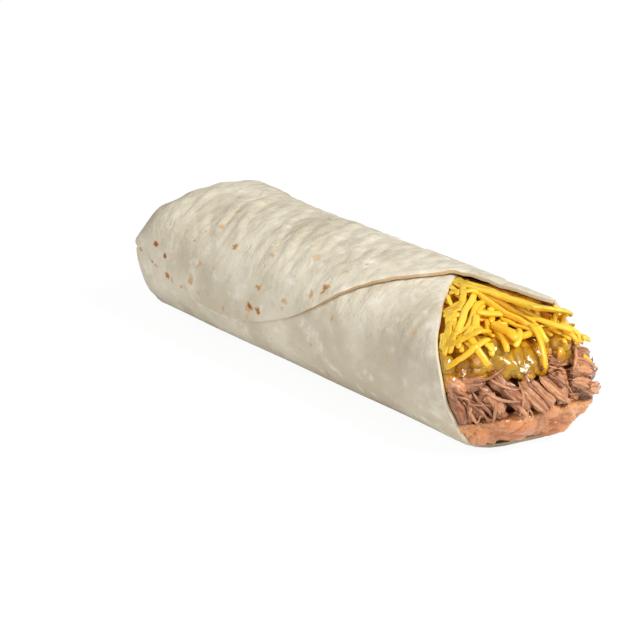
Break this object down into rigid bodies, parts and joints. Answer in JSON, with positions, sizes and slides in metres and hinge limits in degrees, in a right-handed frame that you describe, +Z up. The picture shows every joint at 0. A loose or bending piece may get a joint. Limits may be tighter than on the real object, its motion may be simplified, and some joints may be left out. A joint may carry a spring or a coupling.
{
  "type": "burrito",
  "caption": "Flour tortilla rolled round refried beans, shredded beef, green chile and shredded cheese, folded shut at one end and open at the other.",
  "frame": {"origin": "middle of the whole's base, in the plane it rests on", "axes": "+X along the roll towards the open end, +Z up, -Y towards the side the loose flap lies on"},
  "size_m": [0.1942, 0.0646, 0.052],
  "materials": {
    "tortilla": "soft matte flour tortilla, pale cream with scattered toast spots",
    "refried_beans": "moist lumpy bean paste",
    "shredded_beef": "moist stringy braised beef",
    "green_chile": "wet, glossy, half see-through chile pieces in sauce",
    "shredded_cheese": "smooth waxy shreds of orange-yellow cheese"
  },
  "bodies": {
    "root": {"tortilla": "tortilla", "refried_beans": "refried_beans", "shredded_beef": "shredded_beef", "green_chile": "green_chile", "shredded_cheese": "shredded_cheese"}
  },
  "joints": []
}
